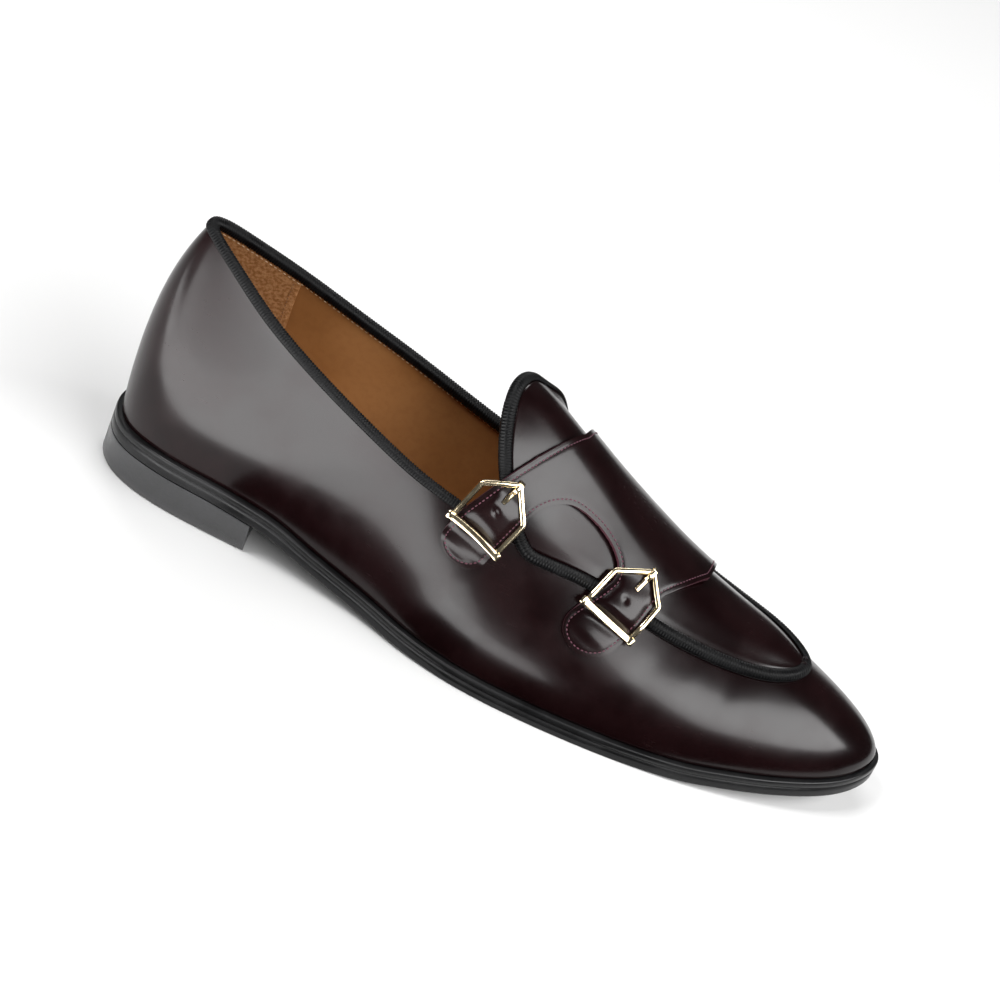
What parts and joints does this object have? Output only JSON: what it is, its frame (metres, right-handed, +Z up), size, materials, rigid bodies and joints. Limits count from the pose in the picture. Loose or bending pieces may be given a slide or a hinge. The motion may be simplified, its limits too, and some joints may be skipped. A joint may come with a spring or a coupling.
{
  "type": "monk strap shoe",
  "caption": "Low leather slip-on dress shoe with a pointed apron, a raised tongue, bound edges and a buckled side saddle",
  "frame": {"origin": "middle of the footprint's box, on the ground", "axes": "+X towards the toe, +Y towards the inner (medial) side, +Z up"},
  "size_m": [0.292, 0.093, 0.0981],
  "materials": {
    "burgundy_leather": "polished dark burgundy box leather",
    "lining": "smooth tan lining leather",
    "binding": "black ribbed grosgrain",
    "sole_edge": "black, satin edge",
    "gold": "polished pale gold plate"
  },
  "bodies": {
    "root": {"outsole": "sole_edge", "heel": "sole_edge", "insole": "lining", "upper": "burgundy_leather", "apron": "burgundy_leather", "apron_binding": "binding", "collar_binding": "binding", "saddle": "burgundy_leather", "buckle_frame_rear": "gold", "buckle_bar_rear": "gold", "buckle_prong_rear": "gold", "buckle_frame_front": "gold", "buckle_bar_front": "gold", "buckle_prong_front": "gold"}
  },
  "joints": []
}
